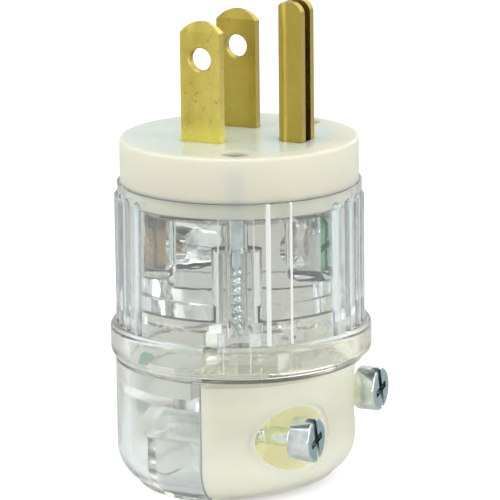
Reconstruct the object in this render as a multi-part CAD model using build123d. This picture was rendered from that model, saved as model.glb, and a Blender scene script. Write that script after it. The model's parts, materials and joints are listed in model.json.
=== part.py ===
from build123d import *
import os
from math import cos, radians, sin

# A straight, three-pin, hospital grade plug with a clear shell, rebuilt as its separate pieces.
# The plug stands on its cord end: +Z runs to the blades, +X to the ground pin and the loose
# jaw of the cord clamp. The origin is on the shell's axis, in the plane of the bottom face.
# All lengths are in millimetres and all angles in degrees.

os.makedirs("parts", exist_ok=True)

# Heights above the bottom face
FACE_TOP = 52.3            # the plane that meets the receptacle
COLLAR_TOP = 24.6
COLLAR_BOTTOM = 18.9
LEDGE_TOP = 27.8           # the ledge in the shell that carries the terminal block

# Nylon face
FACE_INSET = 0.42          # from the shell's rim in to the edge of the disc
FACE_RIM = 6.63            # height of the disc that shows above the shell
FACE_ROUND = 0.45
SPIGOT_LENGTH = 2.3        # what goes down into the shell
FACE_PLATE = 3.0           # nylon left above the pocket under the face
SPIGOT_WALL = 1.8          # nylon left round the pocket
FACE_POCKET_HALF = 9.3     # the pocket's flat sides, either side of the middle

# Clear shell
SHELL_TOP_R = 18.2         # at the rim, growing by the draft to the collar
SHELL_DRAFT = 0.15
SHELL_WALL = 1.8
SOCKET_WALL = 0.95         # wall left round the face's spigot
COLLAR_PROUD = 1.25        # how far the collar stands out from the foot of the shell
COLLAR_ROUND = 1.0         # its upper edge
COLLAR_LOW_ROUND = 2.0     # its lower edge
LEDGE_WIDTH = 2.0
LEDGE_THICK = 1.5
COLLAR_WALL = 2.7          # left round the wire chamber
FLOOR_THICK = 1.5          # closes the chamber over the loose jaw
WIRE_GATE_HALF = 7.4       # half width of the way up through that floor
WIRE_GATE_X = 6.4
CHAMBER_WEB_HALF = 9.6     # the webs beside the chamber start this far from the middle

# Grip ribs outside the shell, in three groups
RIB_R = 1.3
RIB_PROUD = 0.5
RIB_TOP_GAP = 1.1          # from the rim down to where the ribs begin
RIB_PITCH = 10.0
RIBS_IN_GROUP = 4
RIB_GROUPS = (0.0, 136.0, -136.0)
KEY_RIB_ANGLE = 47.3
KEY_RIB_WIDTH = 3.9
KEY_RIB_ROUND = 0.4

# Cord clamp, half of it fixed to the shell and half of it a loose nylon jaw
CLAMP_INSET = 0.7          # from the collar in to the clamp's outside
CLAMP_CORNER = 5.5
FOOT_INSET = 3.1           # from there in to the edge of the foot
PARTING_X = 1.85
PARTING_GAP = 0.1
CLAMP_WALL = 2.0
POCKET_WEB_X = -6.9        # webs under the screw tubes in the fixed half
POCKET_WEB_THICK = 1.5
SHELF_TOP = 16.0           # top of the plate over the fixed half's pockets
SHELF_THICK = 1.5
CORD_R = 6.5               # cord groove in the fixed half
SADDLE_WALL = 1.6
GRIP_PROUD = 0.7           # ridges that bite the cord
GRIP_THICK = 1.2
GRIP_HEIGHTS = (3.6, 7.6, 11.6)
JAW_SHIFT = 2.0            # the closed jaw's own centre lies this far back from the axis
JAW_TOP_GAP = 0.6          # from the collar down to the jaw
JAW_BOTTOM_GAP = 0.15      # the jaw's bottom clears the ground by this at the parting plane
JAW_BOTTOM_SLOPE = 4.5
JAW_SADDLE_R = 7.5
JAW_SADDLE_DEPTH = 3.0
JAW_SLOT_HEIGHT = 2.4      # deep slots between the jaw's gripping ribs
JAW_SLOT_HALF = 4.0
JAW_SLOT_END_X = 13.6

# Clamp screws, the front one lower than the rear one
CLAMP_SCREW_INSET = 8.7    # from the clamp's outside to a screw's axis
CLAMP_SCREW_Z = 11.15
CLAMP_SCREW_STAGGER = 1.35 # how far each lies below or above that height
CLAMP_SHANK_R = 1.425
CLAMP_SHANK_LENGTH = 20.0
CLAMP_HEAD_R = 3.3
CLAMP_HEAD_LENGTH = 3.55
CLAMP_SCREW_TURN = 15.0    # how far the slots have turned from upright
FRONT_HEAD_X = 13.1        # under side of each head, backed out as it is shown
REAR_HEAD_X = 14.95
COUNTERBORE_R = 4.85
COUNTERBORE_X = 7.0
COUNTERBORE_RING_R = 5.5   # shallow step round the counterbore's mouth
COUNTERBORE_RING_DEPTH = 0.35
CLAMP_TUBE_R = 2.5
CLAMP_TIP_CLEARANCE = 1.1  # beyond the tip of the front screw, which reaches further
JAW_HOLE_CLEARANCE = 0.35
THREAD_CLEARANCE = 0.05    # between a screw and the hole that it is cut into

# Assembly screws, from the face down into the shell
ASSEMBLY_INSET = 3.78      # from the disc's edge in to a screw's axis
ASSEMBLY_ANGLE = 67.5
ASSEMBLY_HEAD_R = 1.85
ASSEMBLY_HEAD_LENGTH = 1.6
ASSEMBLY_SHANK_R = 1.4
ASSEMBLY_LENGTH = 24.6     # under the head
ASSEMBLY_POINT = 1.6
ASSEMBLY_SUNK = 0.6        # top of the head under the face plane
ASSEMBLY_BOSS_R = 3.3
ASSEMBLY_BOSS_TOP = 38.3
ASSEMBLY_BOSS_BOTTOM = 24.0
SCREW_HOLE_CLEARANCE = 0.2

# Blades and ground pin
BLADE_SPACING = 12.7
BLADE_CENTRE_X = -2.9
BLADE_WIDTH = 6.35
BLADE_THICK = 1.52
BLADE_LENGTH = 17.87       # above the face
BLADE_TIP_DROP = 1.7       # how much lower the tip's corners are than its middle
BLADE_BEVEL = 0.45
BLADE_BEVEL_HEIGHT = 1.5
BLADE_HOLE_R = 1.72
BLADE_HOLE_DOWN = 5.6      # from the tip to the hole's centre
BLADE_HOLE_BEVEL = 0.15
PIN_CENTRE_X = 9.0
PIN_WIDTH = 4.5
PIN_DEPTH = 4.45
PIN_WALL = 1.3
PIN_LENGTH = 20.67
PIN_TIP_R = 1.9
SLOT_CLEARANCE = 0.05

# Terminals under the face
STRIP_THICK = 1.2
BLADE_FOOT_INSET = 2.8     # from the shell's bore in to the end of a blade's foot
TAB_WIDTH = 6.6
TAB_LENGTH = 9.4
TERMINAL_ANGLE = 146.0
TERMINAL_Z = 36.75
LINE_TAB_INSET = 6.5       # from the shell's bore in to the outer face of a tab
GROUND_TAB_INSET = 7.0
WIRE_GAP = 1.2             # between the tab and the pressure plate
PLATE_SIZE = 7.8
TERMINAL_HEAD_R = 4.2
TERMINAL_HEAD_LENGTH = 1.9
TERMINAL_HEAD_ROUND = 1.1
TERMINAL_SHANK_R = 1.75
TERMINAL_SHANK_LENGTH = 5.8

# Clear terminal block
BLOCK_CLEARANCE = 0.2      # between its flange and the shell's bore
BLOCK_FLANGE_WIDTH = 1.0
BLOCK_FLANGE_HEIGHT = 2.5
POCKET_WIDTH = 9.2
POCKET_ROUND = 1.5
POCKET_LOW_ROUND = 3.0     # the pockets follow the screw heads round at the bottom
POCKET_FLOOR = 4.0         # from the block's bottom up to a pocket's floor
POCKET_BEHIND_TAB = 0.8
GATE_ROUND = 2.0
WIRE_HOLE_R = 2.3

# Screw recesses
RECESS_DEPTH = 1.3
SLOT_WIDTH = 1.1

# Green marker on the back of the clamp
DOT_R = 4.8
DOT_Z = 12.6
DOT_THICK = 0.3
DOT_FILM = 0.02

# What follows from the sizes above
RIM_Z = FACE_TOP - FACE_RIM
SPIGOT_BOTTOM = RIM_Z - SPIGOT_LENGTH
BLOCK_TOP = SPIGOT_BOTTOM - STRIP_THICK
SOCKET_R = SHELL_TOP_R - SOCKET_WALL
SPIGOT_R = SOCKET_R - SLOT_CLEARANCE
FACE_R = SHELL_TOP_R - FACE_INSET
FACE_POCKET_R = SPIGOT_R - SPIGOT_WALL
SHELL_FOOT_R = SHELL_TOP_R + SHELL_DRAFT
BORE_R = SHELL_TOP_R - SHELL_WALL
COLLAR_R = SHELL_FOOT_R + COLLAR_PROUD
CHAMBER_R = COLLAR_R - COLLAR_WALL
CLAMP_R = COLLAR_R - CLAMP_INSET
FOOT_R = CLAMP_R - FOOT_INSET
BLOCK_FLANGE_R = BORE_R - BLOCK_CLEARANCE
BLOCK_R = BLOCK_FLANGE_R - BLOCK_FLANGE_WIDTH
FOOT_REACH = BORE_R - BLADE_FOOT_INSET
LINE_TAB_R = BORE_R - LINE_TAB_INSET
GROUND_TAB_R = BORE_R - GROUND_TAB_INSET
FIXED_FACE_X = PARTING_X - PARTING_GAP / 2
JAW_FACE_X = PARTING_X + PARTING_GAP / 2
JAW_TOP = COLLAR_BOTTOM - JAW_TOP_GAP
CLAMP_SCREW_Y = CLAMP_R - CLAMP_SCREW_INSET
CLAMP_SCREW_PLACES = (
    (-CLAMP_SCREW_Y, CLAMP_SCREW_Z - CLAMP_SCREW_STAGGER),
    (CLAMP_SCREW_Y, CLAMP_SCREW_Z + CLAMP_SCREW_STAGGER))
CLAMP_HOLE_END_X = FRONT_HEAD_X - CLAMP_SHANK_LENGTH - CLAMP_TIP_CLEARANCE
CLAMP_TUBE_END_X = CLAMP_HOLE_END_X - CLAMP_WALL
ASSEMBLY_CIRCLE_R = FACE_R - ASSEMBLY_INSET
ASSEMBLY_HEAD_TOP = FACE_TOP - ASSEMBLY_SUNK
ASSEMBLY_SEAT = ASSEMBLY_HEAD_TOP - ASSEMBLY_HEAD_LENGTH
BLADE_TOP = FACE_TOP + BLADE_LENGTH
PIN_TOP = FACE_TOP + PIN_LENGTH
BIG = 200.0                # larger than the plug, for cutting halves


def rod(radius, low, high, x=0.0, y=0.0):
    """Upright round bar between two heights."""
    return Pos(x, y, low) * extrude(Circle(radius), high - low)


def rod_x(radius, start, end, y, z):
    """Round bar along X."""
    return Pos(start, y, z) * Rot(0, 90, 0) * extrude(Circle(radius), end - start)


def block(x_range, y_range, z_range):
    """Box between two corners."""
    middle = [(a + b) / 2 for a, b in (x_range, y_range, z_range)]
    size = [b - a for a, b in (x_range, y_range, z_range)]
    return Pos(*middle) * Box(*size)


def beyond_x(x):
    """Everything on the +X side of a plane."""
    return Pos(x + BIG / 2, 0, 0) * Box(BIG, BIG, BIG)


def mirrored(solid):
    """The same shape on the other side of the plug's middle plane."""
    return mirror(solid, Plane.XZ)


def assembly_places():
    """Centres of the two assembly screws, the front one first."""
    x = ASSEMBLY_CIRCLE_R * cos(radians(ASSEMBLY_ANGLE))
    y = ASSEMBLY_CIRCLE_R * sin(radians(ASSEMBLY_ANGLE))
    return ((x, -y), (x, y))


def driver_recess(radius):
    """Slot with a cross in it, cut down from the plane z = 0 of a screw's head."""
    slot = Pos(0, 0, -RECESS_DEPTH / 2) * Box(2.2 * radius, SLOT_WIDTH, RECESS_DEPTH)
    arm = Pos(0, 0, -RECESS_DEPTH * 0.75) * Box(SLOT_WIDTH, 1.15 * radius, RECESS_DEPTH * 1.5)
    return slot + arm


def blade_slab(x_centre, y_centre, top):
    """Flat blade with an arched, bevelled tip and a hole, down to the top of its foot."""
    half = BLADE_WIDTH / 2
    shoulder = top - BLADE_TIP_DROP
    with BuildLine() as edge:
        Polyline((-half, shoulder), (-half, BLOCK_TOP), (half, BLOCK_TOP), (half, shoulder))
        ThreePointArc((half, shoulder), (0, top), (-half, shoulder))
    slab = extrude(Plane.XZ * make_face(edge.line), BLADE_THICK / 2, both=True)
    flank = BLADE_THICK / 2
    bevel = Plane.YZ * make_face(Polyline(
        (flank, top - BLADE_BEVEL_HEIGHT), (flank + 1, top - BLADE_BEVEL_HEIGHT),
        (flank + 1, top + 1), (flank - BLADE_BEVEL, top + 1), (flank - BLADE_BEVEL, top),
        (flank, top - BLADE_BEVEL_HEIGHT)))
    bevel = extrude(bevel, BLADE_WIDTH, both=True)
    slab -= bevel + mirrored(bevel)
    hole_z = top - BLADE_HOLE_DOWN
    hole = Pos(0, 0, hole_z) * Rot(90, 0, 0) * Cylinder(BLADE_HOLE_R, BLADE_THICK * 2)
    lead = Pos(0, -flank, hole_z) * Rot(90, 0, 0) * Cone(
        BLADE_HOLE_R, BLADE_HOLE_R + 2 * BLADE_HOLE_BEVEL, 2 * BLADE_HOLE_BEVEL)
    slab -= hole + lead + mirrored(lead)
    return Pos(x_centre, y_centre, 0) * slab


def radial(solid, angle):
    """Turn a shape made along +X so that it points outwards at an angle."""
    return Rot(0, 0, angle) * solid


def tab(outer):
    """Upright terminal tab facing +X, with the tapped hole for its screw."""
    low = BLOCK_TOP - TAB_LENGTH
    plate = block((outer - STRIP_THICK, outer), (-TAB_WIDTH / 2, TAB_WIDTH / 2),
                  (low, SPIGOT_BOTTOM))
    return plate - rod_x(TERMINAL_SHANK_R + THREAD_CLEARANCE, outer - 2 * STRIP_THICK,
                         outer + STRIP_THICK, 0, TERMINAL_Z)


def make_line_blade():
    """Blade, its foot bent outwards under the face, and the tab bent down from the foot."""
    y = -BLADE_SPACING / 2
    blade = blade_slab(BLADE_CENTRE_X, y, BLADE_TOP)
    left = BLADE_CENTRE_X - BLADE_WIDTH / 2
    reach = block((left, left + BLADE_WIDTH), (-FOOT_REACH, y), (BLOCK_TOP, SPIGOT_BOTTOM))
    root = Pos(BLADE_CENTRE_X, y) * Rectangle(BLADE_WIDTH, BLADE_THICK)
    tab_top = Pos(LINE_TAB_R - STRIP_THICK / 2, 0) * Rectangle(STRIP_THICK, TAB_WIDTH)
    tab_top = radial(tab_top, -TERMINAL_ANGLE)
    arm = make_hull(root.edges() + tab_top.edges())
    arm = Pos(0, 0, BLOCK_TOP) * extrude(arm, STRIP_THICK)
    return blade + reach + arm + radial(tab(LINE_TAB_R), -TERMINAL_ANGLE)


def make_ground_pin():
    """Sheet folded to a U, rounded at the tip, with a foot and a terminal tab below."""
    half = PIN_WIDTH / 2
    mouth = PIN_CENTRE_X - half + PIN_DEPTH

    def slot_shape(radius, end):
        bend = Pos(PIN_CENTRE_X, 0) * Circle(radius)
        legs = Pos((PIN_CENTRE_X + end) / 2, 0) * Rectangle(end - PIN_CENTRE_X, 2 * radius)
        return bend + legs

    sheet = slot_shape(half, mouth) - slot_shape(half - PIN_WALL, mouth + 1)
    pin = Pos(0, 0, BLOCK_TOP) * extrude(sheet, PIN_TOP - BLOCK_TOP)
    side = Pos((PIN_CENTRE_X - half + mouth) / 2, (PIN_TOP + BLOCK_TOP) / 2) * RectangleRounded(
        PIN_DEPTH, PIN_TOP - BLOCK_TOP, PIN_TIP_R)
    pin &= extrude(Plane.XZ * side, PIN_WIDTH, both=True) + rod(
        PIN_DEPTH, BLOCK_TOP, FACE_TOP, PIN_CENTRE_X)
    foot = block((PIN_CENTRE_X - half, GROUND_TAB_R), (-TAB_WIDTH / 2, TAB_WIDTH / 2),
                 (BLOCK_TOP, SPIGOT_BOTTOM))
    return pin + foot + tab(GROUND_TAB_R)


def terminal_screw(tab_outer):
    """Binding screw along X, its head outside the pressure plate."""
    seat = tab_outer + WIRE_GAP + STRIP_THICK
    head = rod_x(TERMINAL_HEAD_R, seat, seat + TERMINAL_HEAD_LENGTH, 0, TERMINAL_Z)
    head = fillet(head.edges().filter_by(GeomType.CIRCLE).sort_by(Axis.X)[-1], TERMINAL_HEAD_ROUND)
    recess = Pos(seat + TERMINAL_HEAD_LENGTH, 0, TERMINAL_Z) * Rot(0, 90, 0) * driver_recess(
        TERMINAL_HEAD_R)
    shank = rod_x(TERMINAL_SHANK_R, seat - TERMINAL_SHANK_LENGTH, seat, 0, TERMINAL_Z)
    return head - recess + shank


def pressure_plate(tab_outer):
    """Square washer that the screw presses on the wire."""
    low = tab_outer + WIRE_GAP
    half = PLATE_SIZE / 2
    plate = block((low, low + STRIP_THICK), (-half, half), (TERMINAL_Z - half, TERMINAL_Z + half))
    plate = fillet(plate.edges().filter_by(Axis.X), 0.8)
    return plate - rod_x(TERMINAL_SHANK_R + SCREW_HOLE_CLEARANCE, low - 1, low + 3, 0, TERMINAL_Z)


def make_nylon_face():
    """Nylon disc that carries the blades, with a spigot that enters the shell."""
    disc = rod(FACE_R, RIM_Z, FACE_TOP)
    disc = fillet(disc.edges().sort_by(Axis.Z)[-1], FACE_ROUND)
    body = disc + rod(SPIGOT_R, SPIGOT_BOTTOM, RIM_Z)
    pocket = Circle(FACE_POCKET_R) & Rectangle(BIG, 2 * FACE_POCKET_HALF)
    for x, y in assembly_places():
        pocket -= Pos(x, y) * Circle(ASSEMBLY_BOSS_R)
    guide = Pos(BLADE_CENTRE_X, 0) * Rectangle(BLADE_WIDTH + 3, BLADE_SPACING + 5)
    guide -= Pos(BLADE_CENTRE_X, 0) * Rectangle(BLADE_WIDTH + 9, BLADE_SPACING - 5)
    pocket -= guide
    pocket -= Pos(PIN_CENTRE_X, 0) * Circle(PIN_WIDTH)
    body -= Pos(0, 0, SPIGOT_BOTTOM) * extrude(pocket, FACE_TOP - FACE_PLATE - SPIGOT_BOTTOM)
    depth = FACE_TOP - SPIGOT_BOTTOM + 2
    low = SPIGOT_BOTTOM - 1
    for side in (-1, 1):
        slot = Rectangle(BLADE_WIDTH + 2 * SLOT_CLEARANCE, BLADE_THICK + 2 * SLOT_CLEARANCE)
        body -= Pos(BLADE_CENTRE_X, side * BLADE_SPACING / 2, low) * extrude(slot, depth)
    pin_half = PIN_WIDTH / 2 + SLOT_CLEARANCE
    pin_end = PIN_CENTRE_X - PIN_WIDTH / 2 + PIN_DEPTH + SLOT_CLEARANCE
    pin_hole = Pos(PIN_CENTRE_X, 0) * Circle(pin_half)
    pin_hole += Pos((PIN_CENTRE_X + pin_end) / 2, 0) * Rectangle(pin_end - PIN_CENTRE_X, 2 * pin_half)
    body -= Pos(0, 0, low) * extrude(pin_hole, depth)
    for x, y in assembly_places():
        body -= rod(ASSEMBLY_SHANK_R + SCREW_HOLE_CLEARANCE, low, FACE_TOP + 1, x, y)
        body -= rod(ASSEMBLY_HEAD_R + SCREW_HOLE_CLEARANCE, ASSEMBLY_SEAT, FACE_TOP + 1, x, y)
    return body


def make_terminal_body():
    """Clear block with three rounded pockets for the terminals and wire ways from below."""
    body = rod(BLOCK_R, LEDGE_TOP, BLOCK_TOP)
    body += rod(BLOCK_FLANGE_R, LEDGE_TOP, LEDGE_TOP + BLOCK_FLANGE_HEIGHT)
    floor = LEDGE_TOP + POCKET_FLOOR
    for outer, angle in ((LINE_TAB_R, -TERMINAL_ANGLE), (LINE_TAB_R, TERMINAL_ANGLE),
                         (GROUND_TAB_R, 0.0)):
        back = outer - STRIP_THICK - POCKET_BEHIND_TAB
        front = BLOCK_FLANGE_R + 2
        cut = block((back, front), (-POCKET_WIDTH / 2, POCKET_WIDTH / 2), (floor, BLOCK_TOP + 1))
        cut = fillet(cut.edges().filter_by(Axis.X).group_by(Axis.Z)[0], POCKET_LOW_ROUND)
        back_edges = cut.faces().sort_by(Axis.X)[0].edges()
        cut = fillet(back_edges.sort_by(Axis.Z)[:-1], POCKET_ROUND)
        wire_r = outer + WIRE_GAP + STRIP_THICK
        cut += rod(WIRE_HOLE_R, LEDGE_TOP - 1, floor + 1, wire_r)
        seat = outer + WIRE_GAP + STRIP_THICK
        cut += rod_x(TERMINAL_SHANK_R + SCREW_HOLE_CLEARANCE, seat - TERMINAL_SHANK_LENGTH - 0.5,
                     outer, 0, TERMINAL_Z)
        body -= radial(cut, angle)
    for x, y in assembly_places():
        body -= rod(ASSEMBLY_BOSS_R + SCREW_HOLE_CLEARANCE, LEDGE_TOP - 1,
                    ASSEMBLY_BOSS_TOP + SCREW_HOLE_CLEARANCE, x, y)
        body -= rod(ASSEMBLY_SHANK_R + SCREW_HOLE_CLEARANCE, LEDGE_TOP, BLOCK_TOP + 1, x, y)
    return body


def clamp_outside(centre_x, top, bottom, slope):
    """Round clamp with a rounded corner and a foot, its bottom rising by a slope to +X."""
    under = Pos(PARTING_X, 0, bottom) * Rot(0, -slope, 0) * Pos(0, 0, -BIG / 2) * Box(BIG, BIG, BIG)
    body = rod(CLAMP_R, bottom - CLAMP_CORNER, top, centre_x) - under
    body = fillet(body.edges().filter_by(GeomType.LINE, reverse=True).sort_by(Axis.Z)[0], CLAMP_CORNER)
    foot = rod(FOOT_R, bottom - CLAMP_CORNER, bottom + CLAMP_CORNER / 2, centre_x) - under
    return body + foot


def fixed_pockets():
    """Hollows beside the fixed half's cord groove, each crossed by a web under its tube."""
    radius = CLAMP_R - CLAMP_WALL
    hollow = rod(radius, CLAMP_WALL, SHELF_TOP - SHELF_THICK)
    hollow = fillet(hollow.edges().sort_by(Axis.Z)[0], CLAMP_CORNER - CLAMP_WALL)
    hollow -= rod(CORD_R + SADDLE_WALL, 0, SHELF_TOP)
    saddle = CORD_R + SADDLE_WALL
    hollow -= block((0, radius), (-saddle, saddle), (0, SHELF_TOP))
    web = (POCKET_WEB_X - POCKET_WEB_THICK / 2, POCKET_WEB_X + POCKET_WEB_THICK / 2)
    for y, z in CLAMP_SCREW_PLACES:
        hollow -= block(web, sorted((0, y / abs(y) * CLAMP_R)), (0, z))
    return hollow - beyond_x(FIXED_FACE_X + 1)


def make_fixed_half():
    """Clear half of the cord clamp: groove with ridges, pockets and two screw tubes."""
    half = clamp_outside(0, COLLAR_BOTTOM, 0, 0)
    half -= fixed_pockets()
    upper = rod(CHAMBER_R, SHELF_TOP, COLLAR_BOTTOM + 1) - beyond_x(FIXED_FACE_X - CLAMP_WALL)
    half -= upper
    for y, z in CLAMP_SCREW_PLACES:
        half += rod_x(CLAMP_TUBE_R, CLAMP_TUBE_END_X, FIXED_FACE_X, y, z)
    half -= rod(CORD_R, -1, COLLAR_BOTTOM + 1)
    half -= block((0, BIG), (-CORD_R, CORD_R), (-1, COLLAR_BOTTOM + 1))
    for height in GRIP_HEIGHTS:
        ridge = rod(CORD_R + SADDLE_WALL / 2, height, height + GRIP_THICK)
        ridge -= rod(CORD_R - GRIP_PROUD, height - 1, height + GRIP_THICK + 1)
        half += ridge - beyond_x(0)
    for y, z in CLAMP_SCREW_PLACES:
        half -= rod_x(CLAMP_SHANK_R + THREAD_CLEARANCE, CLAMP_HOLE_END_X, FIXED_FACE_X + 1, y, z)
    return half - beyond_x(FIXED_FACE_X)


def grip_ribs():
    """Rounded upright ribs in three groups, and two flat ones beside the front and back."""
    top = RIM_Z - RIB_TOP_GAP
    centre_r = SHELL_TOP_R + RIB_PROUD - RIB_R
    rib = rod(RIB_R, COLLAR_TOP - COLLAR_ROUND, top, centre_r)
    rib = chamfer(rib.edges().sort_by(Axis.Z)[-1], RIB_PROUD)
    angles = [group + (n - (RIBS_IN_GROUP - 1) / 2) * RIB_PITCH
              for group in RIB_GROUPS for n in range(RIBS_IN_GROUP)]
    ribs = [radial(rib, angle) for angle in angles]
    flat = block((BORE_R + 1, SHELL_TOP_R + RIB_PROUD), (-KEY_RIB_WIDTH / 2, KEY_RIB_WIDTH / 2),
                 (COLLAR_TOP - COLLAR_ROUND, RIM_Z))
    outer = flat.faces().sort_by(Axis.X)[-1]
    flat = fillet(outer.edges().sort_by(Axis.Z)[1:], KEY_RIB_ROUND)
    return ribs + [radial(flat, KEY_RIB_ANGLE), radial(flat, -KEY_RIB_ANGLE)]


def make_barrel():
    """Clear shell round the terminals, with its grip ribs, collar, ledge and chamber floor."""
    outline = Polyline(
        (0, COLLAR_BOTTOM), (COLLAR_R, COLLAR_BOTTOM), (COLLAR_R, COLLAR_TOP),
        (SHELL_FOOT_R, COLLAR_TOP), (SHELL_TOP_R, RIM_Z), (0, RIM_Z), (0, COLLAR_BOTTOM))
    barrel = revolve(Plane.XZ * make_face(outline), Axis.Z)
    rims = barrel.edges().filter_by(GeomType.CIRCLE)
    rims = rims.filter_by(lambda edge: abs(edge.radius - COLLAR_R) < 0.01).sort_by(Axis.Z)
    barrel = fillet(rims[-1], min(COLLAR_ROUND, 0.9 * COLLAR_PROUD))
    rims = barrel.edges().filter_by(GeomType.CIRCLE)
    rims = rims.filter_by(lambda edge: abs(edge.radius - COLLAR_R) < 0.01).sort_by(Axis.Z)
    barrel = fillet(rims[0], COLLAR_LOW_ROUND)
    for rib in grip_ribs():
        barrel += rib
    barrel -= rod(SOCKET_R, SPIGOT_BOTTOM - SCREW_HOLE_CLEARANCE, RIM_Z + 1)
    barrel -= rod(BORE_R, LEDGE_TOP, RIM_Z + 1)
    barrel -= rod(BORE_R - LEDGE_WIDTH, COLLAR_BOTTOM + FLOOR_THICK, LEDGE_TOP + 1)
    barrel -= rod(CHAMBER_R, COLLAR_BOTTOM + FLOOR_THICK, LEDGE_TOP - LEDGE_THICK)
    barrel -= rod(CHAMBER_R, COLLAR_BOTTOM - 1, COLLAR_TOP) - beyond_x(FIXED_FACE_X - CLAMP_WALL)
    gate = block((-CORD_R, WIRE_GATE_X), (-WIRE_GATE_HALF, WIRE_GATE_HALF),
                 (COLLAR_BOTTOM - 1, COLLAR_TOP))
    barrel -= fillet(gate.edges().filter_by(Axis.Z).group_by(Axis.X)[-1], GATE_ROUND)
    web = block((FIXED_FACE_X, FIXED_FACE_X + CLAMP_WALL), (-CHAMBER_R, -CHAMBER_WEB_HALF),
                (COLLAR_BOTTOM + FLOOR_THICK / 2, LEDGE_TOP - LEDGE_THICK / 2))
    web &= rod(CHAMBER_R + 0.5, COLLAR_BOTTOM, LEDGE_TOP)
    return barrel + web + mirrored(web)


def make_housing():
    """One clear moulding: barrel, bosses for the assembly screws and the fixed clamp half."""
    housing = make_barrel() + make_fixed_half()
    for x, y in assembly_places():
        housing += rod(ASSEMBLY_BOSS_R, ASSEMBLY_BOSS_BOTTOM, ASSEMBLY_BOSS_TOP, x, y)
        housing -= rod(ASSEMBLY_SHANK_R + THREAD_CLEARANCE, ASSEMBLY_SEAT - ASSEMBLY_LENGTH,
                       ASSEMBLY_BOSS_TOP + 1, x, y)
    return housing


def make_clamp_jaw():
    """Nylon jaw with a slotted saddle, and counterbores for the two clamp screws."""
    jaw = clamp_outside(-JAW_SHIFT, JAW_TOP, JAW_BOTTOM_GAP, JAW_BOTTOM_SLOPE)
    jaw &= beyond_x(JAW_FACE_X)
    saddle_x = JAW_FACE_X + JAW_SADDLE_DEPTH - JAW_SADDLE_R
    jaw -= rod(JAW_SADDLE_R, -CLAMP_CORNER, JAW_TOP + 1, saddle_x)
    for height in GRIP_HEIGHTS:
        low = height + GRIP_THICK + SCREW_HOLE_CLEARANCE
        jaw -= block((JAW_FACE_X, JAW_SLOT_END_X), (-JAW_SLOT_HALF, JAW_SLOT_HALF),
                     (low, low + JAW_SLOT_HEIGHT))
    for y, z in CLAMP_SCREW_PLACES:
        jaw -= rod_x(CLAMP_SHANK_R + JAW_HOLE_CLEARANCE, 0, BIG, y, z)
        jaw -= rod_x(COUNTERBORE_R, COUNTERBORE_X, BIG, y, z)
        ring = rod_x(COUNTERBORE_RING_R, COUNTERBORE_X, BIG, y, z)
        jaw -= ring - rod(CLAMP_R - COUNTERBORE_RING_DEPTH, 0, JAW_TOP, -JAW_SHIFT)
    return jaw


def make_clamp_screw(place, head_x):
    """Screw with a tall round head, along X, backed out by the travel of the jaw."""
    y, z = place
    end = head_x + CLAMP_HEAD_LENGTH
    head = rod_x(CLAMP_HEAD_R, head_x, end, y, z)
    head = fillet(head.edges().filter_by(GeomType.CIRCLE), 0.3)
    head -= Pos(end, y, z) * Rot(CLAMP_SCREW_TURN, 90, 0) * driver_recess(CLAMP_HEAD_R)
    shank = rod_x(CLAMP_SHANK_R, head_x - CLAMP_SHANK_LENGTH, head_x, y, z)
    shank = chamfer(shank.edges().filter_by(GeomType.CIRCLE).sort_by(Axis.X)[0], 0.5)
    return head + shank


def make_assembly_screw(x, y):
    """Long screw from the face down into the shell's boss, with a pointed end."""
    head = rod(ASSEMBLY_HEAD_R, ASSEMBLY_SEAT, ASSEMBLY_HEAD_TOP, x, y)
    head -= Pos(x, y, ASSEMBLY_HEAD_TOP) * driver_recess(ASSEMBLY_HEAD_R * 0.8)
    tip = ASSEMBLY_SEAT - ASSEMBLY_LENGTH
    shank = rod(ASSEMBLY_SHANK_R, tip + ASSEMBLY_POINT, ASSEMBLY_SEAT, x, y)
    point = Pos(x, y, tip + ASSEMBLY_POINT / 2) * Cone(0.2, ASSEMBLY_SHANK_R, ASSEMBLY_POINT)
    return head + shank + point


def make_green_dot():
    """Round green marker on the back of the clamp's fixed half."""
    skin = rod(CLAMP_R + DOT_THICK, 0, COLLAR_BOTTOM) - rod(CLAMP_R + DOT_FILM, -1, COLLAR_BOTTOM + 1)
    return skin & rod_x(DOT_R, -CLAMP_R - 1, -CLAMP_R / 2, 0, DOT_Z)


def main():
    front, rear = assembly_places()
    line_blade = make_line_blade()
    line_screw = radial(terminal_screw(LINE_TAB_R), -TERMINAL_ANGLE)
    line_plate = radial(pressure_plate(LINE_TAB_R), -TERMINAL_ANGLE)
    pieces = {
        "face": make_nylon_face(),
        "line_blade": line_blade,
        "neutral_blade": mirrored(line_blade),
        "ground_pin": make_ground_pin(),
        "terminal_body": make_terminal_body(),
        "line_terminal_screw": line_screw,
        "line_pressure_plate": line_plate,
        "neutral_terminal_screw": mirrored(line_screw),
        "neutral_pressure_plate": mirrored(line_plate),
        "ground_terminal_screw": terminal_screw(GROUND_TAB_R),
        "ground_pressure_plate": pressure_plate(GROUND_TAB_R),
        "housing": make_housing(),
        "clamp_jaw": make_clamp_jaw(),
        "front_clamp_screw": make_clamp_screw(CLAMP_SCREW_PLACES[0], FRONT_HEAD_X),
        "rear_clamp_screw": make_clamp_screw(CLAMP_SCREW_PLACES[1], REAR_HEAD_X),
        "front_assembly_screw": make_assembly_screw(*front),
        "rear_assembly_screw": make_assembly_screw(*rear),
        "green_dot": make_green_dot(),
    }
    for name, solid in pieces.items():
        export_step(solid, f"parts/{name}.step")


main()
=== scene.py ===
import json
from math import atan2, cos, pi, radians, sin

import bmesh
import bpy
from mathutils import Matrix, Vector


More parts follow.
